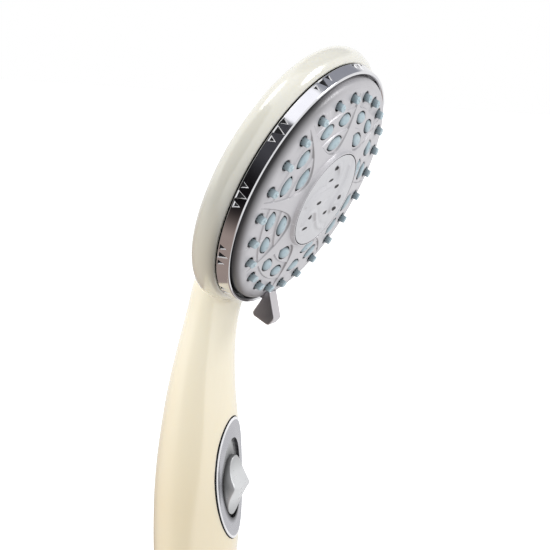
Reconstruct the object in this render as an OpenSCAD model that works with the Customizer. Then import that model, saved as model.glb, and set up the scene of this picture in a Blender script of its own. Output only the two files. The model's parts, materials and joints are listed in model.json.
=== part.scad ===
// Handheld shower head: a tilted multi-spray head on a round handle with a
// pause slider and a G1/2 inlet thread. Millimetres. +Z runs up the handle,
// -Y faces the user, and the origin is at the lower end of the inlet thread.

/* [Head] */
// Angle of the spray face below straight ahead
head_tilt = 24; // [23:0.5:25]
// Distance of the head's centre in front of the handle axis
head_forward = 35.5; // [35:0.5:36]
// Height of the head's centre above the inlet
head_height = 208.5; // [208:0.5:209]
// Radius of the head's front lip
lip_r = 47.1; // [47:0.1:47.3]
// Largest radius of the head
rim_r = 50.2; // [50:0.1:50.4]
// Depth of the head behind its lip, at the centre
head_depth = 20.5; // [20.5:0.5:22]

/* [Spray face] */
// Radius of the ring of outer nozzles
nozzle_ring_r = 38; // [37.8:0.1:38.2]
// Height of the face in front of the lip at that ring
nozzle_ring_z = 8.1; // [8:0.1:8.2]
// Height of the face in front of the lip at the centre cap
cap_edge_z = 10.8; // [10.6:0.1:11]
// Radius of the centre cap
cap_r = 17.9; // [17.8:0.1:18]
// Number of nozzle groups
groups = 8; // [8:1:8]
// Turn of the nozzle pattern from the lever
pattern_turn = 2; // [0:0.5:3]
// Thickness of the rubber nozzle sheet
mat_t = 1.4; // [1.2:0.1:1.5]

/* [Selector] */
// Sideways thickness of the selector lever
lever_t = 5.6; // [5:0.1:6]
// Radius of the fixed post that the face turns on
post_r = 5; // [4.8:0.1:5.2]
// Running clearance on that post
post_gap = 0.06; // [0.04:0.01:0.09]

/* [Handle] */
// Radius of the handle at its base
base_r = 12.4; // [12.3:0.1:12.8]
// Largest radius of the grip
grip_r = 16.5; // [16.3:0.1:16.7]
// Height of that widest place
grip_z = 84.7; // [84:0.1:86]
// Radius of the neck
neck_r = 9.6; // [9.5:0.1:9.9]
// Height where the neck starts to bend forward
bend_z = 120; // [119:0.5:120.5]
// Radius of that bend, at the neck's centre line
bend_r = 205; // [200:1:210]

/* [Pause slider] */
// Travel of the slider
slide_travel = 6; // [5:0.5:6]
// Height of the slider's thumb ridge at its lower stop
ridge_z = 93.8; // [93.4:0.1:94.2]
// Length of the slider
knob_l = 23.1; // [22.8:0.1:23.4]
// Width of the slider
knob_w = 12; // [11.6:0.1:12.2]
// Length of the oval escutcheon
oval_l = 46.8; // [46.4:0.2:47.2]
// Width of the oval escutcheon
oval_w = 19.8; // [19.6:0.1:20.2]

/* [Inlet] */
// Outer radius of the G1/2 thread
thread_r = 10.478; // [10.4:0.001:10.478]
// Pitch of the thread
thread_pitch = 1.814; // [1.8:0.001:1.82]
// Number of full thread turns
thread_turns = 6; // [5:1:6]

/* [Hidden] */
$fn = 64;
eps = 0.01;

// Head: its shell, as radius and height about the head's own axis
rim_z = -5.2;
front_roll = (pow(rim_r - lip_r, 2) + rim_z * rim_z) / (2 * (rim_r - lip_r));
back_roll = 4.7;
roll_r = rim_r - back_roll;
back_r = (roll_r * roll_r + pow(rim_z + head_depth, 2) - back_roll * back_roll)
         / (2 * (rim_z + head_depth - back_roll));
roll_end = acos(roll_r / (back_r - back_roll));
bore_r = 46.4;
cavity_r = 44.8;
ring_seat_z = -2.8;

// Spray face
wall_r = 43.9;
wall_t = 2;
flange_r = 45.2;
rotor_z = -1.4;
deck_z = 0.6;
fillet_r = 3;
fillet_z = 4.45;
dome_k = (cap_edge_z - nozzle_ring_z) / (pow(nozzle_ring_r, 2) - pow(20, 2));
dome_top = cap_edge_z + dome_k * 400;
group_step = 360 / groups;
group_start = group_step / 2;
mid_r = 30.8;
inner_r = 23.5;
mid_lens = [8.2, 5];
inner_lens = [9.4, 5.4];
lens_gap = 0.4;
nozzle_r = 1.75;
nozzle_h = 2;
cap_top_z = 12.4;
collar_r = 19.1;
wall_radii = [40.2, 34.6, 27.3, 19.4];

// Diverter
plate_z = -8;
plate_t = 2.8;
screw_ring_r = 34;
port_r = 24;
detent_r = 30;
detent_z = -2.6;
ball_r = 1.6;
selector_step = 30;

// Neck: its slow bend ends at the head's rim, where a short one brings it in line with the head
turn_s = 166;
turn_r = 40;
turn_from = bend(turn_s - bend_z, bend_r, [0, bend_z, 0]);
turn_end_s = turn_s + turn_r * (head_tilt - turn_from[2]) * PI / 180;
turn_end = bend(turn_end_s - turn_s, turn_r, turn_from);
neck_z = (turn_end[0] + head_forward) * -cos(head_tilt) - (turn_end[1] - head_height) * sin(head_tilt);
neck_y = -(turn_end[0] + head_forward) * sin(head_tilt) + (turn_end[1] - head_height) * cos(head_tilt);
fade_y = [-38, -12];
fade_r = 6.4;

// Handle
handle_z = 14;
neck_top = 160;
barrel_r = 11.05;
barrel_top = 113;
socket_r = 8.1;
socket_top = 126.3;
outlet_bore_r = 6.4;
tube_r = 5.4;
tube_bore_r = 4;
tube_start = 121.5;
tube_end_y = -36;
tube_stop = turn_end_s + tube_end_y - neck_y;
loft_sides = 40;

// Pause valve
spool_r = 5.95;
spool_bore_r = 2.6;
spool_z = 78.3;
sleeve_bore_r = 6;
sleeve_r = 10.9;
peg_r = 2;
oval_z = 96.4;
opening_l = 31;
opening_w = 15.6;
opening_z = 96.3;
knob_drop = 0.25;
knob_z = ridge_z - knob_drop;
knob_low_y = 15.5;
knob_rise = 3.8;
flange_y = 13.6;
pocket_y = 12.4;
recess = 0.6;

// Inlet
spigot_r = 10.9;
flange_z = 12.2;
nipple_top = 32;
nipple_bore_r = 7.5;

// Radius of the handle at height z
function handle_r(z) =
    z < handle_z ? base_r
    : z < grip_z ? base_r + (grip_r - base_r) * pow(cos(90 * (grip_z - z) / (grip_z - handle_z)), 1.3)
    : z < neck_top ? neck_r + (grip_r - neck_r) * pow(cos(90 * (z - grip_z) / (neck_top - grip_z)), 1.58)
    : neck_r;

// Height of the spray face at radius r
function dome_z(r) = dome_top - dome_k * r * r;

// Point after a length s of bend with radius r, from a point given as [y, z, lean]
function bend(s, r, from) = let (lean = from[2] + s / r * 180 / PI)
    [from[0] - r * (cos(from[2]) - cos(lean)), from[1] + r * (sin(lean) - sin(from[2])), lean];

// Point of the handle's centre line at length s from the origin, as [y, z, lean]
function spine(s) =
    s < bend_z ? [0, s, 0]
    : s < turn_s ? bend(s - bend_z, bend_r, [0, bend_z, 0])
    : s < turn_end_s ? bend(s - turn_s, turn_r, turn_from)
    : [turn_end[0] - (s - turn_end_s) * sin(head_tilt),
       turn_end[1] + (s - turn_end_s) * cos(head_tilt), head_tilt];

// Radius of the handle at length s, thinner where it fades into the head's back
function loft_r(s) = let (t = (s - turn_end_s + neck_y - fade_y[0]) / (fade_y[1] - fade_y[0]))
    handle_r(s) - (neck_r - fade_r) * max(0, min(1, t));

module in_head() translate([0, -head_forward, head_height]) rotate([90 + head_tilt, 0, 0]) children();

// Copies at even angles about the head's axis, counted from its lowest point
module around(n, start, r) for (i = [0:n - 1]) rotate(start + i * 360 / n) translate([0, -r, 0]) children();

// A tube along the head's own up direction, in the head's frame
module along_neck(r, from, to) translate([0, from, neck_z]) rotate([-90, 0, 0])
    cylinder(r = r, h = to - from);

module ellipse(l, w) polygon([for (a = [0:9:351]) [w / 2 * cos(a), l / 2 * sin(a)]]);

// An upright outline pushed forward through the front of the handle
module forward(z, from, to) translate([0, -from, z]) rotate([90, 0, 0]) linear_extrude(to - from) children();

module lens(l, w) {
    arc_r = (l * l + w * w) / (4 * w);
    intersection() {
        translate([0, arc_r - w / 2]) circle(arc_r);
        translate([0, w / 2 - arc_r]) circle(arc_r);
    }
}

module o_ring(r, section) rotate_extrude() translate([r, 0]) circle(section, $fn = 24);

module tube(outer, inner, h) difference() {
    cylinder(r = outer, h = h);
    translate([0, 0, -1]) cylinder(r = inner, h = h + 2);
}

// A compression spring along Z, its wire swept round as one mesh
module spring(r, wire, h, turns) {
    steps = turns * 12;
    points = [for (i = [0:steps], k = [0:5]) let (a = i * 30, b = -k * 60)
        [(r + wire * cos(b)) * cos(a), (r + wire * cos(b)) * sin(a),
         wire + (h - 2 * wire) * i / steps + wire * sin(b)]];
    polyhedron(points, skin(steps, 6), convexity = 8);
}

// Faces of a closed skin over last + 1 rings of n points
function skin(last, n) = concat(
    [for (i = [0:last - 1], k = [0:n - 1]) let (m = (k + 1) % n)
        each [[i * n + k, (i + 1) * n + k, i * n + m], [i * n + m, (i + 1) * n + k, (i + 1) * n + m]]],
    [[for (k = [0:n - 1]) k], [for (k = [n - 1:-1:0]) last * n + k]]);

// The handle and neck as one smooth mesh, round in every section
module handle_loft() {
    stops = concat([for (s = [handle_z:8:118]) s], [for (s = [bend_z:6:turn_s]) s],
        [for (s = [turn_s + 2:2:turn_end_s]) s], [for (y = [-40:4:-12]) turn_end_s + y - neck_y]);
    n = loft_sides;
    last = len(stops) - 1;
    points = [for (s = stops, k = [0:n - 1]) let (c = spine(s), r = loft_r(s), a = k * 360 / n)
        [r * cos(a), c[0] + r * sin(a) * cos(c[2]), c[1] + r * sin(a) * sin(c[2])]];
    polyhedron(points, skin(last, n), convexity = 6);
}

// The handle's surface of revolution, moved outward by grow
module handle_round(grow, from, to) rotate_extrude()
    polygon(concat([[0, from]], [for (z = [from:4:to]) [handle_r(z) + grow, z]], [[0, to]]));

module head_outside() rotate_extrude() polygon(concat(
    [for (t = [0:1:6]) let (z = rim_z * t / 6)
        [rim_r - front_roll + sqrt(front_roll * front_roll - pow(z - rim_z, 2)), z]],
    [for (t = [1:5]) let (a = roll_end * t / 5) [roll_r + back_roll * cos(a), rim_z - back_roll * sin(a)]],
    [for (t = [7:-1:0]) let (a = (90 - roll_end) * t / 8)
        [back_r * sin(a), back_r - head_depth - back_r * cos(a)]],
    [[0, 0]]));

module head_cavity() rotate_extrude() polygon([
    [0, 1], [bore_r, 1], [bore_r, ring_seat_z], [cavity_r, ring_seat_z],
    [cavity_r, -8.2], [40, -10.6], [32, -13.5], [22, -16], [0, -18.2]]);

// Oval recess in the handle's front, down to the escutcheon's seat
module oval_recess(gap) difference() {
    forward(oval_z, 5, 20) ellipse(oval_l + 2 * gap, oval_w + 2 * gap);
    handle_round(-recess, 60, 124);
}

module body_shell() color("ivory") {
    difference() {
        union() {
            in_head() head_outside();
            handle_loft();
        }
        in_head() {
            head_cavity();
            along_neck(7.45, -44.3, -35.3);
            along_neck(5.75, -36, -16.5);
        }
        spine_bar(outlet_bore_r, socket_top - 1, tube_stop - 7);
        translate([0, 0, barrel_top - 1]) cylinder(r = socket_r + 0.1, h = socket_top - barrel_top + 1);
        translate([0, 0, handle_z - 1]) cylinder(r = barrel_r, h = barrel_top - handle_z + 1);
        oval_recess(0.25);
        forward(opening_z, pocket_y, 20) ellipse(opening_l + 2, opening_w + 2.4);
        peg_slot(0.6, 8);
    }
    in_head() intersection() {
        around(4, 45, screw_ring_r) translate([0, 0, -18.8]) tube(3.6, 1.25, plate_z + 18.8);
        translate([0, 0, 0.9]) head_outside();
    }
}

// Slot that the slider's peg travels in
module peg_slot(gap, from) forward(ridge_z + slide_travel / 2, from, 14)
    square([2 * (peg_r + gap), slide_travel + 2 * (peg_r + gap)], center = true);

module chrome_ring() color("silver") in_head() rotate_extrude() polygon([
    [44.4, 0.9], [44.4, 4.7], [44.8, 5.1], [45.7, 5.1], [46.1, 4.8], [46.9, 0.7], [46.9, 0.3],
    [46.2, 0.3], [46.2, ring_seat_z + 0.1], [45.6, ring_seat_z + 0.1], [45.6, 0.9]]);

module face_hole_pattern(grow) rotate(pattern_turn) {
    around(groups * 3, group_step / 6, nozzle_ring_r) circle(nozzle_r + grow, $fn = 24);
    for (side = [-10, 10]) around(groups, group_start + side, mid_r)
        lens(mid_lens[0] + 2 * grow, mid_lens[1] + 2 * grow);
    around(groups, group_start, inner_r) lens(inner_lens[0] + 2 * grow, inner_lens[1] + 2 * grow);
}

module lever_foot(gap) translate([0, -42.2, 2.9 - gap]) linear_extrude(5)
    square([4 + 2 * gap, 2.2 + 2 * gap], center = true);

module face_plate() color("gainsboro") in_head() difference() {
    rotate_extrude() polygon(concat(
        [[flange_r, rotor_z], [flange_r, 0.5], [wall_r, 0.5]],
        [for (a = [0:15:75]) [wall_r - fillet_r + fillet_r * cos(a), fillet_z + fillet_r * sin(a)]],
        [for (r = [40:-3.4:19.6]) [r, dome_z(r)]],
        [[collar_r, dome_z(collar_r)], [collar_r - 0.6, cap_top_z - 0.1], [cap_r + 0.15, cap_top_z - 0.1],
         [cap_r + 0.15, dome_z(cap_r) - wall_t]],
        [for (r = [22.5:3.5:40]) [r, dome_z(r) - wall_t]],
        [[wall_r - wall_t, 3], [wall_r - wall_t, rotor_z]]));
    linear_extrude(20) face_hole_pattern(lens_gap / 2);
    lever_foot(0.05);
}

module nozzle_mat() color("lightsteelblue") in_head() rotate(pattern_turn) {
    difference() {
        union() {
            rotate_extrude() polygon(concat(
                [for (r = [39.9, 37, 33, 29, 25, 22, 19.2]) [r, dome_z(r) - wall_t - 0.1]],
                [for (r = [19.2, 22, 25, 29, 33, 37, 39.9]) [r, dome_z(r) - wall_t - mat_t]]));
            around(groups * 3, group_step / 6, nozzle_ring_r) translate([0, 0, nozzle_ring_z - wall_t - 1]) {
                cylinder(r = nozzle_r, h = wall_t + 1.4, $fn = 24);
                translate([0, 0, wall_t + 1.4])
                    cylinder(r1 = nozzle_r, r2 = 1.4, h = nozzle_h - 0.4, $fn = 24);
            }
            for (side = [-10, 10]) around(groups, group_start + side, mid_r)
                translate([0, 0, dome_z(mid_r) - wall_t - 1]) linear_extrude(wall_t + 1.8)
                    lens(mid_lens[0] - lens_gap, mid_lens[1] - lens_gap);
            around(groups, group_start, inner_r) translate([0, 0, dome_z(inner_r) - wall_t - 1])
                linear_extrude(wall_t + 1.8) lens(inner_lens[0] - lens_gap, inner_lens[1] - lens_gap);
        }
        around(groups * 3, group_step / 6, nozzle_ring_r) cylinder(r = 0.4, h = 20, $fn = 16);
    }
}

module nozzle_carrier() color("whitesmoke") in_head() difference() {
    union() {
        translate([0, 0, rotor_z]) cylinder(r = wall_r - wall_t - 0.1, h = deck_z - rotor_z);
        for (r = wall_radii) tube_wall(r);
    }
    translate([0, 0, rotor_z - 1]) cylinder(r = post_r + post_gap, h = 4);
    for (side = [-2:2]) rotate(side * selector_step) translate([0, -port_r, rotor_z - 1])
        cylinder(r = 2.4, h = 4);
    // Groove that the detent ball runs in, with a dimple at each setting
    translate([0, 0, detent_z + 0.1]) o_ring(detent_r, ball_r + 0.15);
    for (side = [-2:2]) rotate(side * selector_step) translate([0, detent_r, detent_z]) sphere(ball_r + 0.4);
}

module tube_wall(r) translate([0, 0, deck_z - eps]) tube(r, r - 1.5, dome_z(r) - wall_t - mat_t - deck_z);

module centre_cap() color("lightgray") in_head() {
    difference() {
        rotate_extrude() polygon([[0, 11], [cap_r - 1.4, 11], [cap_r - 1.4, 7.6], [cap_r, 7.6],
            [cap_r, cap_top_z - 0.6], [cap_r - 0.6, cap_top_z], [0, cap_top_z]]);
        around(3, 25, 11.8) cylinder(r = 0.9, h = 20, $fn = 16);
        around(3, 5, 11.2) linear_extrude(20) square([3, 0.7], center = true);
        around(3, 85, 6.4) linear_extrude(20) square([2.2, 0.6], center = true);
    }
    translate([0, 0, 9.9]) cylinder(r = 2.6, h = 1.1 + eps);
    translate([0, 0, 4.9]) cylinder(r = 1.5, h = 5 + eps);
}

module selector_lever() color("gainsboro") in_head() {
    rotate([90, 0, -90]) linear_extrude(lever_t, center = true) hull() {
        translate([40.3, 8.8]) circle(0.85, $fn = 32);
        translate([47.6, 13.6]) circle(1.5, $fn = 32);
        translate([49.3, 13]) circle(1.6, $fn = 32);
        translate([49.1, 7.9]) circle(1.5, $fn = 32);
    }
    lever_foot(0);
}

module massage_turbine() color("white") in_head() difference() {
    union() {
        translate([0, 0, 8.2]) cylinder(r = 13, h = 1);
        translate([0, 0, 5.2]) cylinder(r = 3.2, h = 3.5);
        around(6, 0, 7.6) translate([0, 0, 7]) cube([0.9, 9.6, 3], center = true);
    }
    translate([0, 0, 4]) cylinder(r = 1.56, h = 8);
    // Window that lets one jet at a time through
    around(1, 0, 10.4) translate([0, 0, 8]) cylinder(r = 2, h = 3);
}

module diverter_base() color("slategray") in_head() difference() {
    union() {
        translate([0, 0, plate_z]) cylinder(r = cavity_r - 0.15, h = plate_t);
        translate([0, 0, plate_z]) cylinder(r = post_r, h = 0.9 - plate_z);
        translate([0, 0, plate_z]) cylinder(r = 9, h = plate_z + 12.6);
        along_neck(7.3, -44, -35.5);
        along_neck(5.6, -35.6, -17);
        translate([0, -port_r, neck_z]) cylinder(r = 6.6, h = -2.3 - neck_z);
        translate([0, detent_r, -12.6]) cylinder(r = 3.2, h = 12.6 - 4.4);
    }
    along_neck(tube_r + 0.1, -50, tube_end_y);
    translate([0, tube_end_y - 3, neck_z]) rotate([90, 0, 0]) o_ring(tube_r + 0.55, 0.6);
    along_neck(tube_bore_r, tube_end_y - 1, -port_r);
    translate([0, -port_r, neck_z]) cylinder(r = 3.4, h = 12);
    translate([0, -port_r, -6.8]) cylinder(r = 4.8, h = 8);
    translate([0, detent_r, -11.9]) cylinder(r = ball_r + 0.15, h = 20);
    translate([0, 0, plate_z + 0.5]) cylinder(r = 1.85, h = 12);
    translate([0, 0, -1.2]) o_ring(post_r - 0.6, 0.65);
    around(4, 45, screw_ring_r) translate([0, 0, plate_z - 1]) cylinder(r = 1.7, h = 6);
}

module pan_screw(shank_r, head_r, head_h, length) difference() {
    union() {
        translate([0, 0, -length]) cylinder(r = shank_r, h = length + eps);
        cylinder(r = head_r, h = head_h);
    }
    translate([0, 0, head_h - 0.8]) for (a = [0, 90]) rotate(a) cube([head_r * 1.2, 0.7, 2], center = true);
}

module retaining_screw() color("silver") in_head() translate([0, 0, 1.5]) pan_screw(1.8, 4.2, 2.2, 8.6);

module retaining_washer() color("silver") in_head() translate([0, 0, 0.9]) tube(7, 1.95, 0.6);

module pivot_o_ring() color("black") in_head() translate([0, 0, -1.2]) o_ring(post_r - 0.6, 0.55);

module manifold_screws() color("silver") in_head() around(4, 45, screw_ring_r)
    translate([0, 0, plate_z + plate_t]) pan_screw(1.2, 2.8, 1.8, 6.8);

module port_seal() color("dimgray") in_head() translate([0, -port_r, -4.2]) tube(4.6, 2.8, 2.5);

module port_seal_spring() color("silver") in_head() translate([0, -port_r, -6.75]) spring(4.1, 0.3, 2.5, 3);

module detent_ball() color("silver") in_head() translate([0, detent_r, detent_z]) sphere(ball_r);

module detent_spring() color("silver") in_head() translate([0, detent_r, -11.8]) spring(1.2, 0.25, 7.5, 5);

// A round bar that follows the handle's centre line
module spine_bar(r, from, to) {
    stops = concat(from, [for (s = [bend_z:6:turn_s]) if (s > from + 1) s],
        [for (s = [turn_s + 2:2:turn_end_s]) s], to);
    n = 24;
    last = len(stops) - 1;
    points = [for (s = stops, k = [0:n - 1]) let (c = spine(s), a = k * 360 / n)
        [r * cos(a), c[0] + r * sin(a) * cos(c[2]), c[1] + r * sin(a) * sin(c[2])]];
    polyhedron(points, skin(last, n), convexity = 4);
}

module riser_tube() color("white") difference() {
    spine_bar(tube_r, tube_start, tube_stop);
    spine_bar(tube_bore_r, tube_start - 1, tube_stop + 1);
}

// Rings around the two ends of the riser tube, where its sockets hold it
module riser_rings(section) {
    translate([0, 0, tube_start + 1.6]) o_ring(tube_r + 0.55, section);
    in_head() translate([0, tube_end_y - 3, neck_z]) rotate([90, 0, 0]) o_ring(tube_r + 0.55, section);
}

module riser_o_rings() color("black") riser_rings(0.5);

module valve_sleeve() color("ghostwhite") difference() {
    union() {
        translate([0, 0, nipple_top + 0.6]) cylinder(r = sleeve_r, h = barrel_top - nipple_top - 0.9);
        translate([0, 0, barrel_top - 1]) cylinder(r = socket_r, h = socket_top - barrel_top + 0.7);
    }
    translate([0, 0, nipple_top]) cylinder(r = sleeve_bore_r, h = tube_start - 1.7 - nipple_top);
    translate([0, 0, tube_start - 3]) cylinder(r = 3.6, h = 6);
    translate([0, 0, tube_start - 0.1]) cylinder(r = tube_r + 0.15, h = 8);
    translate([0, 0, tube_start + 1.6]) o_ring(tube_r + 0.55, 0.6);
    peg_slot(0.3, 4);
    sleeve_rings(0.85);
}

module sleeve_rings(section) for (z = [42, 74]) translate([0, 0, z]) o_ring(sleeve_r - 0.65, section);

module sleeve_o_rings() color("black") sleeve_rings(0.78);

module valve_spool() color("lightslategray") difference() {
    union() {
        translate([0, 0, spool_z]) cylinder(r = spool_r, h = 31);
        translate([0, 0, spool_z + 31]) cylinder(r1 = 4.6, r2 = 2.5, h = 3.4);
    }
    translate([0, 0, spool_z - 1]) cylinder(r = spool_bore_r, h = 31.5);
    translate([0, 0, spool_z + 29]) rotate([90, 0, 0]) cylinder(r = 1.8, h = 20, center = true);
    forward(ridge_z, 3.4, 10) circle(peg_r + 0.05);
    spool_rings(0.75);
}

module spool_rings(section) for (z = [2.6, 25.5])
    translate([0, 0, spool_z + z]) o_ring(spool_r - 0.6, section);

module spool_o_rings() color("black") spool_rings(0.6);

// Knob's side outline: two concave thumb rests that meet at a ridge
module knob_profile() let (low = -knob_drop - knob_l / 2, high = knob_l / 2 - knob_drop) polygon(concat(
    [[flange_y - 1, high], [flange_y - 1, low]],
    [for (t = [0:0.125:1]) [knob_low_y + knob_rise * pow(t, 2), low * (1 - t)]],
    [for (t = [0.875:-0.125:0]) [knob_low_y + knob_rise * pow(t, 2), high * (1 - t)]]));

module pause_slider() color("gainsboro") {
    intersection() {
        translate([0, 0, ridge_z]) rotate([90, 0, -90])
            linear_extrude(knob_w + 2, center = true) knob_profile();
        forward(knob_z, 12, 22) ellipse(knob_l, knob_w);
    }
    forward(knob_z, pocket_y + 0.2, flange_y) ellipse(knob_l, knob_w + 2);
    forward(ridge_z, 3.7, flange_y) circle(peg_r);
}

module escutcheon() color("darkgray") difference() {
    intersection() {
        handle_round(0.5, 60, 124);
        forward(oval_z, 5, 20) ellipse(oval_l, oval_w);
    }
    handle_round(eps - recess, 56, 128);
    forward(opening_z, 5, 20) ellipse(opening_l, opening_w);
}

// Thread crests as flat rings, with 55 degree flanks between them
module inlet_nipple() color("silver") difference() {
    rotate_extrude() polygon(concat(
        [[nipple_bore_r - 1, 0]],
        [for (i = [0:thread_turns - 1]) let (z = i * thread_pitch) each [[thread_r, z], [thread_r, z + 0.5],
            [thread_r - 1.16, z + 1.05], [thread_r - 1.16, z + 1.26]]],
        [[thread_r, thread_turns * thread_pitch], [thread_r, thread_turns * thread_pitch + 0.5],
         [base_r - 0.4, flange_z - 0.2], [base_r - 0.4, handle_z - 0.1], [spigot_r, handle_z - 0.1],
         [spigot_r, nipple_top], [nipple_bore_r - 1, nipple_top]]));
    translate([0, 0, -1]) cylinder(r = nipple_bore_r, h = 21);
    nipple_ring(0.95);
}

module nipple_ring(section) translate([0, 0, 24]) o_ring(spigot_r - 0.75, section);

module nipple_o_ring() color("black") nipple_ring(0.87);

module flow_regulator() color("limegreen") translate([0, 0, 16.2]) difference() {
    cylinder(r = nipple_bore_r - 0.1, h = 3.7);
    translate([0, 0, -1]) cylinder(r = 4.5, h = 2.6);
    around(6, 0, 2.6) translate([0, 0, -1]) cylinder(r = 0.8, h = 6, $fn = 16);
}

module inlet_screen() color("silver") translate([0, 0, 2]) difference() {
    rotate_extrude() polygon([[0, 3.4], [3.5, 3], [6.4, 0.8], [6.4, 0], [nipple_bore_r - 0.1, 0],
        [nipple_bore_r - 0.1, 0.8], [7, 1.4], [3.8, 3.7], [0, 4.1]]);
    for (ring = [[6, 2.2], [12, 4.4]]) around(ring[0], 0, ring[1]) cylinder(r = 0.55, h = 8, $fn = 16);
    cylinder(r = 0.55, h = 8, $fn = 16);
}

body_shell();
chrome_ring();
face_plate();
nozzle_mat();
nozzle_carrier();
centre_cap();
selector_lever();
massage_turbine();
diverter_base();
retaining_screw();
retaining_washer();
pivot_o_ring();
manifold_screws();
port_seal();
port_seal_spring();
detent_ball();
detent_spring();
riser_tube();
riser_o_rings();
valve_sleeve();
sleeve_o_rings();
valve_spool();
spool_o_rings();
pause_slider();
escutcheon();
inlet_nipple();
nipple_o_ring();
flow_regulator();
inlet_screen();
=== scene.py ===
import json
from math import acos, asin, cos, degrees, hypot, pi, radians, sin, tan

import bpy
import numpy as np
from mathutils import Matrix, Vector


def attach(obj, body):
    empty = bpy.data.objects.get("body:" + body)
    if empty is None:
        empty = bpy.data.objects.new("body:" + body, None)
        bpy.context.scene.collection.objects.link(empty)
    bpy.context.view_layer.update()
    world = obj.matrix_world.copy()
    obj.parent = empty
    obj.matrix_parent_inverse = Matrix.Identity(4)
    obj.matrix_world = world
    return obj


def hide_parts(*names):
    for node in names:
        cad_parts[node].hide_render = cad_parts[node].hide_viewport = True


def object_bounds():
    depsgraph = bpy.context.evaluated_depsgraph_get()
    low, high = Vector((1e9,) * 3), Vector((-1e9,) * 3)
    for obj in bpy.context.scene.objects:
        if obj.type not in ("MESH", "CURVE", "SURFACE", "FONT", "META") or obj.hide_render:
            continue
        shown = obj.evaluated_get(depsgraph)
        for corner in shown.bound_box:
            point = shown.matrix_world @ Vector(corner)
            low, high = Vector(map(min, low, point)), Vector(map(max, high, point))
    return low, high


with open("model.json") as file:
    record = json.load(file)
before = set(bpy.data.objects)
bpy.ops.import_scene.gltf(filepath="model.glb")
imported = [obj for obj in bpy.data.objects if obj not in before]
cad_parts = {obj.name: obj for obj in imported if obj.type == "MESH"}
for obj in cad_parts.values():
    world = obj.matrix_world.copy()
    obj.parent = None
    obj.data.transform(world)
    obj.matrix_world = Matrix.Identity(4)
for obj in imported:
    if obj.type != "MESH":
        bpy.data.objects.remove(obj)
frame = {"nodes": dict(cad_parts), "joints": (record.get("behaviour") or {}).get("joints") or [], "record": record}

cad_low, cad_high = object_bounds()

# Lengths of the object are in millimetres until a mesh is made; those of the studio are in metres.
MM = 0.001
JOINTS = {joint["name"]: joint for joint in frame["joints"]}

# The head's own frame: its centre, and its axes as columns (x to the side, y up the disc, z out of
# the spray face), from the joint that the face turns on.
HEAD_AT = np.array(JOINTS["selector_turn"]["pos_m"]) / MM
FACE = np.array(JOINTS["selector_turn"]["axis"], float)
FACE /= np.linalg.norm(FACE)
HEAD_AXES = np.column_stack([(1, 0, 0), np.cross(FACE, (1, 0, 0)), FACE])
TILT = degrees(asin(-FACE[2]))


# ---------------- camera, light and floor

# The photo's camera: its lens, its place in metres, where it looks and what it takes as up.
LENS, SENSOR = 87.73, 36
CAMERA_AT = (-0.4262, -0.2381, 0.2545)
CAMERA_AIM, CAMERA_UP = (0.88476, 0.43556, -0.16578), (0.12738, 0.11618, 0.98503)

# What the shiny pieces mirror: a direction, the cosines where a patch starts and is full, and its colour.
MIRRORED = [
    ((-0.20, 0.50, -0.83), 0.35, 0.65, (0.36, 0.29, 0.26)),
    ((0.55, -0.15, 0.82), 0.80, 0.92, (0.33, 0.34, 0.38)),
    ((-0.95, -0.05, 0.30), 0.72, 0.80, (0.060, 0.060, 0.068)),
    ((-0.97, 0.20, -0.20), 0.76, 1.00, (0.008, 0.007, 0.008)),
    ((-0.27, -0.33, 0.90), 0.93, 0.96, (1.20, 1.20, 1.24)),
]
# The soft light on everything: a sky, brightest toward SKY_FROM, and a glow from behind the object.
SKY_FROM, SKY_DIM, SKY_BRIGHT = (0.25, -0.70, 0.67), 0.86, 1.0
RIM_FROM, RIM_BRIGHT = (-0.45, 0.85, 0.15), 1.7
WALLS = 0.95  # how bright the room's walls are in a mirror
# Half the floor's side and its gap below the object, in metres, and how much the paper glows.
FLOOR_HALF, FLOOR_GAP, FLOOR_GLOW = 6.0, 0.0002, 0.55


def make_camera():
    """A camera that sees the object as the photo does."""
    data = bpy.data.cameras.new("camera")
    data.lens = LENS
    data.sensor_width = SENSOR
    camera = bpy.data.objects.new("camera", data)
    forward = Vector(CAMERA_AIM).normalized()
    right = forward.cross(Vector(CAMERA_UP)).normalized()
    turn = Matrix((right, right.cross(forward), -forward)).transposed().to_4x4()
    camera.matrix_world = Matrix.Translation(CAMERA_AT) @ turn
    bpy.context.collection.objects.link(camera)
    bpy.context.scene.camera = camera


def make_light(name, at, target, size, power):
    """A round lamp that shines at the target."""
    data = bpy.data.lights.new(name, "AREA")
    data.shape = "DISK"
    data.size = size
    data.energy = power
    light = bpy.data.objects.new(name, data)
    light.location = at
    light.rotation_euler = (Vector(target) - Vector(at)).to_track_quat("-Z", "Y").to_euler()
    bpy.context.collection.objects.link(light)


def add_node(tree, kind, output, inputs):
    """One output of a new shader node whose inputs are set, or linked where the value is a socket."""
    node = tree.nodes.new("ShaderNode" + kind)
    for name, value in inputs.items():
        if isinstance(value, bpy.types.NodeSocket):
            tree.links.new(value, node.inputs[name])
        else:
            node.inputs[name].default_value = value
    return node.outputs[output]


def mixed(tree, factor, first, then):
    """A colour that goes from first to then with the factor; each is a colour or a socket."""
    node = tree.nodes.new("ShaderNodeMix")
    node.data_type = "RGBA"
    tree.links.new(factor, node.inputs[0])
    for value, socket in ((first, node.inputs[6]), (then, node.inputs[7])):
        if isinstance(value, tuple):
            socket.default_value = (*value, 1)
        else:
            tree.links.new(value, socket)
    return node.outputs[2]


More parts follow.
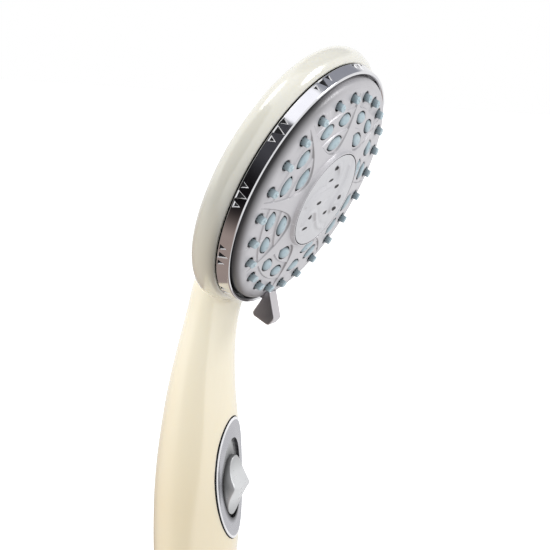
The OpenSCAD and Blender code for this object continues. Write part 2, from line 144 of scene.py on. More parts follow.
def make_world():
    """A white room; shiny pieces mirror a table, a ceiling, dark cards and a soft box in it too."""
    world = bpy.data.worlds.new("studio")
    bpy.context.scene.world = world
    world.use_nodes = True
    tree = world.node_tree
    nodes, links = tree.nodes, tree.links
    nodes.clear()
    coord = nodes.new("ShaderNodeTexCoord")
    path = nodes.new("ShaderNodeLightPath")

    def toward(direction, start, full):
        along = nodes.new("ShaderNodeVectorMath")
        along.operation = "DOT_PRODUCT"
        along.inputs[1].default_value = Vector(direction).normalized()
        links.new(coord.outputs["Generated"], along.inputs[0])
        patch = add_node(tree, "MapRange", "Result", {
            "From Min": start, "From Max": full, "Value": along.outputs["Value"]})
        patch.node.interpolation_type = "SMOOTHSTEP"
        return patch

    seen = (WALLS,) * 3
    for direction, start, full, colour in MIRRORED:
        seen = mixed(tree, toward(direction, start, full), seen, colour)
    sky = mixed(tree, toward(SKY_FROM, -0.8, 0.7), (SKY_DIM,) * 3, (SKY_BRIGHT,) * 3)
    sky = mixed(tree, toward(RIM_FROM, 0.5, 0.95), sky, (RIM_BRIGHT,) * 3)
    light = mixed(tree, path.outputs["Is Glossy Ray"], sky, seen)
    light = mixed(tree, path.outputs["Is Camera Ray"], light, (1.0, 1.0, 1.0))
    out = nodes.new("ShaderNodeOutputWorld")
    links.new(add_node(tree, "Background", "Background", {"Color": light}), out.inputs["Surface"])


def make_stage():
    """The room, the two lamps and a plain sheet of pale paper as the floor."""
    bpy.context.scene.view_settings.view_transform = "Standard"
    make_world()
    make_light("key", (0.25, -0.75, 0.65), (0, -0.03, 0.2), 0.35, 1.8)
    make_light("top", (-0.25, 0.1, 0.95), (0, -0.03, 0.18), 0.4, 1.0)
    mesh = bpy.data.meshes.new("floor")
    corners = [(x * FLOOR_HALF, y * FLOOR_HALF, 0) for x, y in ((-1, -1), (1, -1), (1, 1), (-1, 1))]
    mesh.from_pydata(corners, [], [(0, 1, 2, 3)])
    paper = make_material("floor_paper", (0.94, 0.94, 0.94), (0.9, 0.9, 0.9), rough=(0.8, 0.9),
                          patch=3, grain=900, bump=0.0002)
    glow = paper.node_tree.nodes["Principled BSDF"]
    glow.inputs["Emission Color"].default_value = (1, 1, 1, 1)
    glow.inputs["Emission Strength"].default_value = FLOOR_GLOW
    mesh.materials.append(paper)
    floor = bpy.data.objects.new("floor", mesh)
    floor.location.z = cad_low[2] - FLOOR_GAP
    floor.visible_glossy = floor.visible_diffuse = False
    bpy.context.collection.objects.link(floor)


# ---------------- materials

PAINTED_SHADE_REMAINS = 0.08  # what full painted shade leaves of the second colour


def make_material(name, colour, second, rough, patch, grain, bump, metallic=0.0, coat=0.0, worn=None,
                  speck=None, sub=0.0, stretch=(1, 1, 1), specular=0.5, tint_by_height=()):
    """A moulded or plated finish: colour that drifts over the piece, a fine grain in the roughness and
    the surface, rubbed edges in the worn colour, specks, colours that take over lower down (each a colour, the
    height in metres where it starts and the height where it is full) and painted shade by vertex shade values."""
    material = bpy.data.materials.new(name)
    material.use_nodes = True
    tree = material.node_tree
    nodes, links = tree.nodes, tree.links
    shader = nodes["Principled BSDF"]
    constant = {"Metallic": metallic, "Coat Weight": coat, "Coat Roughness": 0.08, "Coat IOR": 1.75,
                "Specular IOR Level": specular}
    if sub:
        constant.update({"Subsurface Weight": sub, "Subsurface Radius": (1.0, 0.9, 0.7),
                         "Subsurface Scale": 0.003})
    for socket, value in constant.items():
        shader.inputs[socket].default_value = value
    coord = nodes.new("ShaderNodeTexCoord")
    place = add_node(tree, "Mapping", "Vector", {"Scale": stretch, "Vector": coord.outputs["Object"]})

    def noise(scale, detail, roughness=0.5):
        return add_node(tree, "TexNoise", "Fac", {
            "Scale": scale, "Detail": detail, "Roughness": roughness, "Vector": place})

    def ramp(value, low, high, to=(0.0, 1.0)):
        return add_node(tree, "MapRange", "Result", {
            "From Min": low, "From Max": high, "To Min": to[0], "To Max": to[1], "Value": value})

    tint = mixed(tree, ramp(noise(patch, 3), 0.35, 0.65), colour, second)
    if speck:
        tint = mixed(tree, ramp(noise(grain * 0.6, 2, 0.7), 0.68, 0.74), tint, speck)
    if worn:
        geometry = nodes.new("ShaderNodeNewGeometry")
        edge = ramp(geometry.outputs["Pointiness"], 0.53, 0.6)
        patchy = nodes.new("ShaderNodeMath")
        patchy.operation = "MULTIPLY"
        links.new(edge, patchy.inputs[0])
        links.new(ramp(noise(patch * 8, 4), 0.4, 0.6), patchy.inputs[1])
        tint = mixed(tree, patchy.outputs[0], tint, worn)
    for lower_tint, start, full in tint_by_height:
        height = add_node(tree, "SeparateXYZ", "Z", {"Vector": coord.outputs["Object"]})
        tint = mixed(tree, ramp(height, start, full), tint, lower_tint)
    # Painted shade: each vertex's shade value darkens the colour toward a small share of the second colour.
    shade_attribute = nodes.new("ShaderNodeAttribute")
    shade_attribute.attribute_name = "painted_shade"
    tint = mixed(tree, shade_attribute.outputs["Fac"], tint, tuple(PAINTED_SHADE_REMAINS * c for c in second))
    links.new(tint, shader.inputs["Base Color"])
    links.new(ramp(noise(grain * 0.25, 4, 0.6), 0.3, 0.7, rough), shader.inputs["Roughness"])
    relief = {"Strength": 0.35, "Distance": bump, "Height": noise(grain, 2)}
    links.new(add_node(tree, "Bump", "Normal", relief), shader.inputs["Normal"])
    return material


# For each material slot of the record, and for the painted highlight "edge" and the painted shade "gap":
# a name, two colours, the range of the roughness, the scales of the drift and of the grain, the depth of
# the grain in metres, and what else the finish has.
FINISHES = {
    "shell": (
        "cream_plastic", (0.73, 0.715, 0.64), (0.705, 0.69, 0.61), (0.16, 0.26), 18, 1800, 0.00003,
        dict(coat=1.0, sub=0.2, worn=(0.86, 0.83, 0.74), speck=(0.76, 0.68, 0.50),
             # Colours that take over lower down: a paler one, then a tan one toward the foot.
             tint_by_height=[((0.92, 0.85, 0.68), 0.205, 0.170), ((0.83, 0.73, 0.53), 0.150, 0.085)])),
    "ring": (
        "chrome", (0.80, 0.80, 0.82), (0.75, 0.75, 0.78), (0.04, 0.10), 120, 3000, 0.000002,
        dict(metallic=1.0, worn=(0.9, 0.9, 0.92))),
    "face": (
        "satin_grey", (0.585, 0.575, 0.60), (0.555, 0.545, 0.57), (0.30, 0.42), 45, 2600, 0.00003,
        dict(metallic=0.25, worn=(0.70, 0.69, 0.72), speck=(0.46, 0.45, 0.48))),
    "nozzle": (
        "aqua_silicone", (0.45, 0.55, 0.60), (0.39, 0.50, 0.56), (0.32, 0.45), 160, 2200, 0.00004,
        dict(sub=0.1, worn=(0.66, 0.78, 0.82), speck=(0.38, 0.52, 0.58))),
    "lever": (
        "satin_lever", (0.66, 0.64, 0.66), (0.60, 0.58, 0.60), (0.28, 0.38), 90, 2400, 0.00003,
        dict(metallic=0.92, worn=(0.78, 0.77, 0.80))),
    "cap": (
        "satin_cap", (0.63, 0.63, 0.655), (0.60, 0.60, 0.625), (0.28, 0.40), 60, 2600, 0.00003,
        dict(metallic=0.3, worn=(0.72, 0.72, 0.75), speck=(0.48, 0.47, 0.50))),
    "slider": (
        "satin_slider", (0.70, 0.71, 0.72), (0.65, 0.66, 0.67), (0.26, 0.38), 90, 2400, 0.00003,
        dict(metallic=0.6, worn=(0.8, 0.8, 0.82))),
    "escutcheon": (
        "satin_plate", (0.53, 0.53, 0.56), (0.48, 0.48, 0.51), (0.20, 0.32), 70, 2400, 0.00001,
        dict(metallic=0.8, worn=(0.8, 0.8, 0.82))),
    "inner_plastic": (
        "white_moulding", (0.80, 0.80, 0.77), (0.74, 0.74, 0.71), (0.38, 0.52), 60, 1500, 0.00005,
        dict(worn=(0.88, 0.88, 0.86), speck=(0.68, 0.68, 0.66))),
    "base_plastic": (
        "grey_moulding", (0.19, 0.21, 0.23), (0.15, 0.17, 0.19), (0.40, 0.55), 60, 1500, 0.00005,
        dict(worn=(0.30, 0.32, 0.34), speck=(0.11, 0.12, 0.14))),
    "steel": (
        "brushed_steel", (0.62, 0.62, 0.61), (0.52, 0.52, 0.52), (0.16, 0.34), 300, 1600, 0.00003,
        dict(metallic=1.0, stretch=(1, 1, 0.15), worn=(0.78, 0.78, 0.78))),
    "black_rubber": (
        "black_rubber", (0.022, 0.022, 0.024), (0.035, 0.035, 0.036), (0.50, 0.70), 200, 2600, 0.00006,
        dict(worn=(0.07, 0.07, 0.07), speck=(0.06, 0.06, 0.06))),
    "inlet": (
        "cream_thread", (0.80, 0.72, 0.54), (0.74, 0.66, 0.48), (0.28, 0.42), 60, 1500, 0.00005,
        dict(coat=0.15, worn=(0.88, 0.83, 0.70), speck=(0.62, 0.54, 0.38))),
    "regulator": (
        "green_moulding", (0.13, 0.42, 0.16), (0.10, 0.36, 0.13), (0.35, 0.5), 120, 1700, 0.00005,
        dict(worn=(0.3, 0.6, 0.32), speck=(0.07, 0.28, 0.1))),
    # Painted highlight: a pale finish on faces that stand for bright glints, on the ring's marks and the plate's
    # rim.
    "edge": (
        "bright_edge", (0.88, 0.88, 0.90), (0.80, 0.80, 0.82), (0.35, 0.5), 200, 1500, 0.00002,
        dict(metallic=0.3, worn=(0.95, 0.95, 0.96))),
    # Near black: painted shade in gaps, openings and hollows where shade falls; also the floors of the ring's
    # marks.
    "gap": (
        "dark_gap", (0.012, 0.012, 0.014), (0.02, 0.02, 0.022), (0.6, 0.8), 200, 1500, 0.00004,
        dict(worn=(0.03, 0.03, 0.03), specular=0.05)),
}


# ---------------- mesh tools

def from_head(points):
    """Points of the head's own frame, moved to the row frame."""
    return HEAD_AT + np.asarray(points, float) @ HEAD_AXES.T


def to_head(points):
    """Points of the row frame in the head's own frame."""
    return (np.asarray(points, float) - HEAD_AT) @ HEAD_AXES


def round_head(points):
    """Points of the row frame as radius, angle from the lowest direction and height on the head's axis."""
    x, y, z = to_head(points).T
    return np.hypot(x, y), np.arctan2(x, -y), z


def add_mesh(name, points, faces, sharp=35, in_head=False):
    """A mesh object from points in millimetres, smooth except at edges sharper than that angle."""
    points = from_head(points) if in_head else np.asarray(points, float)
    mesh = bpy.data.meshes.new(name)
    mesh.from_pydata((points * MM).tolist(), [], [tuple(int(i) for i in face) for face in faces])
    mesh.validate()
    obj = bpy.data.objects.new(name, mesh)
    bpy.context.collection.objects.link(obj)
    smooth(obj, sharp)
    return obj


def smooth(obj, sharp):
    """Smooth shading, except at edges sharper than that angle in degrees."""
    obj.data.shade_smooth()
    obj.data.set_sharp_from_angle(angle=radians(sharp))


def around(sides):
    """Evenly spaced angles of one full turn."""
    return np.arange(sides) * 2 * pi / sides


def swung(angle, r, u):
    """x and y of a point at radius r and u to the side, turned that far from the head's lowest point."""
    return r * sin(angle) + u * cos(angle), -r * cos(angle) + u * sin(angle)


def wall_faces(rows, columns, loop=False):
    """Quads between rows of points that each run right round; with loop, the last row meets the first."""
    r, c = np.meshgrid(np.arange(rows if loop else rows - 1), np.arange(columns), indexing="ij")
    below, beside = (r + 1) % rows, (c + 1) % columns
    quads = np.stack([r * columns + c, below * columns + c,
                      below * columns + beside, r * columns + beside], -1)
    return quads.reshape(-1, 4).tolist()


def closed_faces(rows, columns):
    """The same, with the first and last rows filled."""
    last = (rows - 1) * columns
    ends = [list(range(columns)), [last + c for c in range(columns - 1, -1, -1)]]
    return wall_faces(rows, columns) + ends


def turned(profile, sides, height=None):
    """Points of a profile of (radius, height) turned about Z; height(r, angle, z) may change each z."""
    profile = np.asarray(profile, float)
    r, a = np.meshgrid(profile[:, 0], around(sides), indexing="ij")
    z = np.repeat(profile[:, 1:], sides, axis=1)
    if height:
        z = height(r, a, z)
    return np.stack([r * np.sin(a), -r * np.cos(a), z], -1).reshape(-1, 3)


def lathe(profile, sides, height=None, loop=False):
    """Points and faces of a turned profile: filled at its two ends, or with loop a closed section."""
    faces = wall_faces(len(profile), sides, loop=True) if loop else closed_faces(len(profile), sides)
    return turned(profile, sides, height), faces


def prism(x, y, low, high):
    """Points and faces of an outline raised from low to high."""
    points = np.concatenate([np.stack([x, y, np.full(len(x), z)], -1) for z in (low, high)])
    return points, closed_faces(2, len(x))


def rounded(corners, steps=4):
    """A closed outline of (x, y, corner radius) with its corners rounded."""
    out = []
    for i, (x, y, radius) in enumerate(corners):
        here = np.array([x, y], float)
        before = np.array(corners[i - 1][:2], float) - here
        after = np.array(corners[(i + 1) % len(corners)][:2], float) - here
        if not radius:
            out.append(tuple(here))
            continue
        before /= np.linalg.norm(before)
        after /= np.linalg.norm(after)
        half = acos(max(-1, min(1, before @ after))) / 2
        middle = before + after
        centre = here + middle / np.linalg.norm(middle) * radius / sin(half)
        start = here + before * radius / tan(half) - centre
        end = here + after * radius / tan(half) - centre
        sweep = pi - 2 * half
        for k in range(steps + 1):
            t = k / steps
            point = (sin((1 - t) * sweep) * start + sin(t * sweep) * end) / sin(sweep)
            out.append(tuple(centre + point))
    return out


def joined(parts):
    """(points, faces) of several closed parts as one list of each."""
    points, faces, count = [], [], 0
    for p, f in parts:
        points.append(np.asarray(p, float))
        faces += [[i + count for i in face] for face in f]
        count += len(p)
    return np.concatenate(points), faces


def boolean(obj, cutter, operation="DIFFERENCE"):
    """Cuts obj with the cutter, or joins them, and removes the cutter."""
    modifier = obj.modifiers.new("boolean", "BOOLEAN")
    modifier.object = cutter
    modifier.operation = operation
    modifier.solver = "MANIFOLD"
    apply_modifiers(obj)
    bpy.data.objects.remove(cutter)


def apply_modifiers(obj):
    """Replaces the mesh by what its modifiers make of it."""
    bpy.context.view_layer.update()
    made = bpy.data.meshes.new_from_object(obj.evaluated_get(bpy.context.evaluated_depsgraph_get()))
    obj.modifiers.clear()
    made.name = obj.name
    obj.data = made


def finish_piece(obj, body, slot, *nodes, extra=()):
    """Gives a piece its finish, its body and the CAD nodes that it stands for."""
    obj.data.materials.clear()
    for name in (slot, *extra):
        obj.data.materials.append(MATERIALS[name])
    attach(obj, body)
    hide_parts(*nodes)


def paint(obj, index_of):
    """Gives each face the material index that index_of finds from the face centres, in millimetres."""
    centres = np.empty(len(obj.data.polygons) * 3)
    obj.data.polygons.foreach_get("center", centres)
    indices = index_of(centres.reshape(-1, 3) / MM)
    obj.data.polygons.foreach_set("material_index", indices.astype(np.int32))


def painted_shade(obj, amount_of):
    """Gives each vertex a painted shade value, 0 to 1, that amount_of finds from the points, in millimetres."""
    points = np.empty(len(obj.data.vertices) * 3)
    obj.data.vertices.foreach_get("co", points)
    amounts = amount_of(points.reshape(-1, 3) / MM)
    layer = obj.data.attributes.new("painted_shade", "FLOAT", "POINT")
    layer.data.foreach_set("value", np.clip(amounts, 0, 1).astype(np.float32))


def step(value, low, high):
    """0 below low, 1 above high, smooth between."""
    t = np.clip((value - low) / (high - low), 0, 1)
    return t * t * (3 - 2 * t)


# ---------------- the handle's shape

# Heights and radii of the handle's foot, its thickest part and its neck, and how fast it tapers.
HANDLE_END, GRIP_Z, NECK_TOP = 14.0, 84.7, 160.0
BASE_R, GRIP_R, NECK_R = 12.4, 16.5, 9.6
BASE_TAPER, NECK_TAPER = 1.3, 1.58
# The centre line leaves the vertical on a wide arc, then turns on a tight one until it lies along the
# head. Inside the head the handle thins to FADE_R.
BEND_Z, BEND_R = 120.0, 205.0
TURN_S, TURN_R = 166.0, 40.0
FADE_FROM, FADE_TO, FADE_R = -38.0, -12.0, 6.4


def handle_r(z):
    """Radius of the handle at a length along its centre line."""
    z = np.asarray(z, float)
    down = np.clip((GRIP_Z - z) / (GRIP_Z - HANDLE_END), 0, 1)
    up = np.clip((z - GRIP_Z) / (NECK_TOP - GRIP_Z), 0, 1)
    low = BASE_R + (GRIP_R - BASE_R) * np.cos(np.pi / 2 * down) ** BASE_TAPER
    high = NECK_R + (GRIP_R - NECK_R) * np.cos(np.pi / 2 * up) ** NECK_TAPER
    return np.where(z < GRIP_Z, low, high)


def bend(s, r, start):
    """Where an arc of radius r that starts at (y, z, lean) has got to after a length s."""
    lean = start[2] + s / r
    return (start[0] - r * (cos(start[2]) - cos(lean)),
            start[1] + r * (sin(lean) - sin(start[2])), lean)


TURN_START = bend(TURN_S - BEND_Z, BEND_R, (0, BEND_Z, 0))
TURN_END_S = TURN_S + TURN_R * (radians(TILT) - TURN_START[2])
TURN_END = bend(TURN_END_S - TURN_S, TURN_R, TURN_START)
NECK_Y, NECK_Z = to_head([(0, *TURN_END[:2])])[0][1:]


def spine(s):
    """The handle's centre line at length s: its y, z and lean."""
    if s < BEND_Z:
        return 0.0, s, 0.0
    if s < TURN_S:
        return bend(s - BEND_Z, BEND_R, (0, BEND_Z, 0))
    if s < TURN_END_S:
        return bend(s - TURN_S, TURN_R, TURN_START)
    on, lean = s - TURN_END_S, radians(TILT)
    return TURN_END[0] - on * sin(lean), TURN_END[1] + on * cos(lean), lean


def loft_r(s):
    """Radius of the handle, thinned where it runs inside the head."""
    fade = np.clip((s - TURN_END_S + NECK_Y - FADE_FROM) / (FADE_TO - FADE_FROM), 0, 1)
    return handle_r(s) - (NECK_R - FADE_R) * fade


def bar(radius, start, end, pitch=4.0, sides=32):
    """A closed round bar that follows the centre line; radius is a number or a function of length."""
    stops = np.linspace(start, end, max(2, int((end - start) / pitch) + 1))
    a = around(sides)
    points = []
    for s in stops:
        y, z, lean = spine(s)
        r = radius(s) if callable(radius) else radius
        points.append(np.stack([r * np.cos(a), y + r * np.sin(a) * cos(lean),
                                z + r * np.sin(a) * sin(lean)], -1))
    return np.concatenate(points), closed_faces(len(stops), sides)


# ---------------- body shell

# The head: its lip and rim, the small roll behind the rim and the ball of radius BACK_R that closes it.
LIP_R, RIM_R, RIM_Z, BACK_ROLL, HEAD_DEPTH = 47.1, 50.2, -5.2, 4.7, 20.5
FRONT_ROLL = ((RIM_R - LIP_R) ** 2 + RIM_Z ** 2) / (2 * (RIM_R - LIP_R))
ROLL_R = RIM_R - BACK_ROLL
RIM_RISE = RIM_Z + HEAD_DEPTH
BACK_R = (ROLL_R ** 2 + RIM_RISE ** 2 - BACK_ROLL ** 2) / (2 * (RIM_RISE - BACK_ROLL))
BACK_CENTRE = BACK_R - HEAD_DEPTH
# Its inside, and the handle's: the valve's barrel, the socket above it, the riser's tunnel and two wells
# in the neck, each with a radius and where it starts and ends up the head.
BORE_R, CAVITY_R, RING_SEAT = 46.4, 44.8, -2.8
BARREL_R, BARREL_TOP, SOCKET_R, SOCKET_TOP, TUNNEL_R = 11.05, 113, 8.2, 126.3, 6.4
NECK_WELLS = ((7.45, -44.3, -35.3), (5.75, -36, -16.5))
TUNNEL_TO = -43  # in the wider well
# Step along the centre line, width of the blend between head and handle, size of the remesh, what the
# front has to spare for the cut, and how many points are measured at once.
SPINE_STEP, BLEND, VOXEL, FRONT_SPARE, CHUNK = 1.5, 3.0, 0.9, 0.7, 20000
SPINE_STOPS = np.arange(HANDLE_END, TURN_END_S - NECK_Y + FADE_TO, SPINE_STEP)
SPINE_POINTS = np.array([spine(s)[:2] for s in SPINE_STOPS])
AXIS = 0.01  # a turned profile ends this near its axis, so that its end can be filled
SHADE_AT = radians(-58)  # the side of the head that the light leaves darkest, from its lowest point


def head_distance(p):
    """Signed distance to the head's outside, without its flat front."""
    r, _, z = round_head(p)
    front = np.hypot(np.maximum(r - (RIM_R - FRONT_ROLL), 0), z - RIM_Z) - FRONT_ROLL
    roll = np.hypot(r - ROLL_R, z - RIM_Z) - BACK_ROLL
    dome = np.hypot(r, z - BACK_CENTRE) - BACK_R
    on_roll = (r - ROLL_R) * (BACK_CENTRE - RIM_Z) > (RIM_Z - z) * ROLL_R
    return np.where(z > RIM_Z, front, np.where(on_roll, roll, dome))


def handle_distance(p):
    """Signed distance to the handle, by the nearest point of its centre line."""
    out = np.empty(len(p))
    a, b = SPINE_POINTS[:-1], SPINE_POINTS[1:]
    d = b - a
    for i in range(0, len(p), CHUNK):
        q = p[i:i + CHUNK]
        rel = q[:, None, 1:] - a[None]
        t = np.clip((rel * d).sum(-1) / (d * d).sum(-1), 0, 1)
        gap = rel - t[..., None] * d
        gap2 = (gap * gap).sum(-1)
        k = gap2.argmin(1)
        rows = np.arange(len(q))
        s = SPINE_STOPS[k] + t[rows, k] * SPINE_STEP
        out[i:i + CHUNK] = np.hypot(q[:, 0], np.sqrt(gap2[rows, k])) - loft_r(s)
    return out


def shell_distance(p):
    """Signed distance to the head and the handle, which flow into each other."""
    a, b = head_distance(p), handle_distance(p)
    h = np.maximum(BLEND - np.abs(a - b), 0) / BLEND
    return np.minimum(a, b) - h * h * BLEND / 4


def settle(points, distance, rounds=4):
    """Moves points along the gradient on to the surface where the distance is nought."""
    e = 0.02
    for _ in range(rounds):
        d = distance(points)
        gradient = np.stack([(distance(points + np.eye(3)[i] * e) - d) / e for i in range(3)], -1)
        size = np.maximum((gradient * gradient).sum(-1), 0.2)
        points = points - gradient * (np.clip(d, -2, 2) / size)[:, None]
    return points


def head_profile():
    """The head's outside, from the middle of its front to the middle of its back."""
    front = RIM_R - FRONT_ROLL
    end = acos(ROLL_R / (BACK_R - BACK_ROLL))
    profile = [(AXIS, FRONT_SPARE), (front, FRONT_SPARE)]
    profile += [(front + FRONT_ROLL * sin(a), RIM_Z + FRONT_ROLL * cos(a))
                for a in np.linspace(0.1, pi / 2, 12)]
    profile += [(ROLL_R + BACK_ROLL * cos(a), RIM_Z - BACK_ROLL * sin(a))
                for a in np.linspace(0.1, end, 10)]
    profile += [(BACK_R * sin(a), BACK_CENTRE - BACK_R * cos(a))
                for a in np.linspace(pi / 2 - end, 0, 20)[1:-1]]
    return profile + [(AXIS, BACK_CENTRE - BACK_R)]


def shell_cuts():
    """What is taken out of the shell: the head's cavity, the handle's bores and the slider's pocket."""
    front = [(AXIS, 6), (LIP_R + 0.3, 6), (LIP_R + 0.3, 0), (BORE_R + 0.25, 0), (BORE_R, -0.25),
             (BORE_R, RING_SEAT), (CAVITY_R, RING_SEAT), (CAVITY_R, -8.2), (40, -10.6), (32, -13.5),
             (22, -16), (AXIS, -18.2)]
    below = [(AXIS, 0), (20, 0), (20, HANDLE_END), (BARREL_R + 0.55, HANDLE_END),
             (BARREL_R, HANDLE_END + 0.5), (BARREL_R, BARREL_TOP), (SOCKET_R, BARREL_TOP),
             (SOCKET_R, SOCKET_TOP), (AXIS, SOCKET_TOP)]
    cuts = [add_mesh("cut", *lathe(front, 240), in_head=True), add_mesh("cut", *lathe(below, 96)),
            add_mesh("cut", *bar(TUNNEL_R, SOCKET_TOP - 1.3, TURN_END_S - NECK_Y + TUNNEL_TO))]
    for radius, start, end in NECK_WELLS:
        well, faces = lathe([(AXIS, 0), (radius, 0), (radius, end - start), (AXIS, end - start)], 48)
        well = np.stack([well[:, 0], start + well[:, 2], NECK_Z - well[:, 1]], -1)
        cuts.append(add_mesh("cut", well, faces, in_head=True))
    cuts.append(add_mesh("cut", *upright_prism(OVAL_L + 0.5, OVAL_W + 0.5, OVAL_Z, POCKET_Y, 22)))
    return cuts


def make_shell():
    """Head and handle as one skin: remeshed, settled on to the exact surface, then hollowed."""
    points, faces = lathe(head_profile(), 120)
    handle = bar(loft_r, HANDLE_END - 6, SPINE_STOPS[-1], 3, 64)
    shell = add_mesh("shell", *joined([(from_head(points), faces), handle]))
    remesh = shell.modifiers.new("remesh", "REMESH")
    remesh.mode = "VOXEL"
    remesh.voxel_size = VOXEL * MM
    apply_modifiers(shell)
    points = np.empty(len(shell.data.vertices) * 3)
    shell.data.vertices.foreach_get("co", points)
    points = points.reshape(-1, 3) / MM
    settled = settle(points.copy(), shell_distance)
    low = points[:, 2] < HANDLE_END - 2
    settled[low] = points[low]
    shell.data.vertices.foreach_set("co", (settled * MM).ravel())

    for cut in shell_cuts():
        boolean(shell, cut)
    smooth(shell, 30)
    finish_piece(shell, "body", "shell", "body_shell", extra=("slider", "gap"))

    def pocket_colour_and_shade(at):
        """The slider's colour on the floor of its pocket, and painted shade as a dark line round the pocket's
        wall.
        """
        x, y, z = at.T
        out = np.hypot(x / (OVAL_W / 2 + 0.25), (z - OVAL_Z) / (OVAL_L / 2 + 0.25))
        floor = (np.abs(y + POCKET_Y) < 0.05) & (out < 1)
        wall = (out > 0.998) & (out < 1.0002) & (y < -POCKET_Y - 0.05)
        return floor * 1 + wall * 2

    paint(shell, pocket_colour_and_shade)

    def ring_shadow(at):
        r, a, z = round_head(at)
        near = np.exp(-np.maximum(r - LIP_R, 0) / 2.4) * (z > -9) * (r > LIP_R - 0.4)
        return 0.8 * near * np.clip(np.cos(a - SHADE_AT), 0, 1) ** 3

    painted_shade(shell, ring_shadow)


# ---------------- pause slider and its escutcheon

# Length, width and height of the plate's oval and of its opening, and how far in front of the axis the
# floor of the pocket lies; then the knob, its ridge and its cover.
OVAL_L, OVAL_W, OVAL_Z, POCKET_Y = 46.8, 19.8, 96.4, 12.4
OPENING_L, OPENING_W, OPENING_Z = 30.6, 13.4, 96.3
KNOB_L, KNOB_W, KNOB_DROP, RIDGE_Z = 23.1, 12.0, 0.25, 93.8
KNOB_LOW, KNOB_RISE, KNOB_EDGE = 15.5, 3.8, 0.45
COVER_Y, COVER_L, COVER_W, PLATE_UNDER = 13.6, 36.0, KNOB_W + 1.2, 1.45
# The plate's section: how far out each row lies from opening to oval, and how high above the handle.
PLATE_ROWS = [(1.0, -1.0), (1.0, 0.1), (0.985, 0.38), (0.95, 0.5), (0.86, 0.5), (0.82, 0.44), (0.74, 0.25),
              (0.6, -0.02), (0.45, -0.2), (0.3, -0.34), (0.15, -0.43), (0.05, -0.46), (0.01, -0.52),
              (0.0, -0.65), (0.0, -0.95), (0.5, -1.05)]


def ellipse_points(l, w, z, sides):
    """x and z of an upright oval of length l and width w whose middle is at height z."""
    a = around(sides)
    return w / 2 * np.cos(a), z + l / 2 * np.sin(a)


def upright_prism(l, w, z, near, far, sides=96):
    """An upright oval pushed forward from near to far in front of the handle's axis."""
    x, up = ellipse_points(l, w, z, sides)
    points, faces = prism(x, up, -far, -near)
    return points[:, [0, 2, 1]], faces


def make_escutcheon():
    """A thin oval plate that follows the handle: a painted highlight on its raised rim, then a dished band to the
    opening.
    """
    sides = 144
    points = []
    for t, lift in PLATE_ROWS:
        l, w = OPENING_L + t * (OVAL_L - OPENING_L), OPENING_W + t * (OVAL_W - OPENING_W)
        x, z = ellipse_points(l, w, OPENING_Z + t * (OVAL_Z - OPENING_Z), sides)
        points.append(np.stack([x, -np.sqrt((handle_r(z) + lift) ** 2 - x * x), z], -1))
    faces = wall_faces(len(PLATE_ROWS), sides, loop=True)
    plate = add_mesh("escutcheon_plate", np.concatenate(points), faces, sharp=40)
    finish_piece(plate, "body", "escutcheon", "escutcheon", extra=("edge", "gap"))

    def rim(at):
        """A painted highlight on the rim, and painted shade on its outer wall."""
        out = np.hypot(at[:, 0] / (OVAL_W / 2), (at[:, 2] - OVAL_Z) / (OVAL_L / 2))
        return (out > 0.955) + 1 * (out > 0.9965)

    paint(plate, rim)

    def dished(at):
        """Painted shade: the dark wall of the opening, and the shade round it that fades toward its two ends."""
        x, y, z = at.T
        out = np.hypot(x / (OPENING_W / 2), (z - OPENING_Z) / (OPENING_L / 2))
        below = np.hypot(x / (OPENING_W / 2), (z - RIDGE_Z + 3) / 12)
        return 0.85 * (1 - step(out, 1.0, 1.16)) * (1 - step(below, 1.0, 1.5)) + (out < 1.003)

    painted_shade(plate, dished)


def knob_top(x, z):
    """How far the knob stands in front of the axis: two hollow thumb rests that meet in a ridge."""
    up = z - RIDGE_Z
    reach = np.where(up < 0, KNOB_L / 2 + KNOB_DROP, KNOB_L / 2 - KNOB_DROP)
    from_ridge = np.sqrt(up * up + 0.16) - 0.4
    t = np.clip(1 - from_ridge / reach, 0, 1)
    return KNOB_LOW + KNOB_RISE * t ** 2 - 0.25 * (x / (KNOB_W / 2)) ** 2


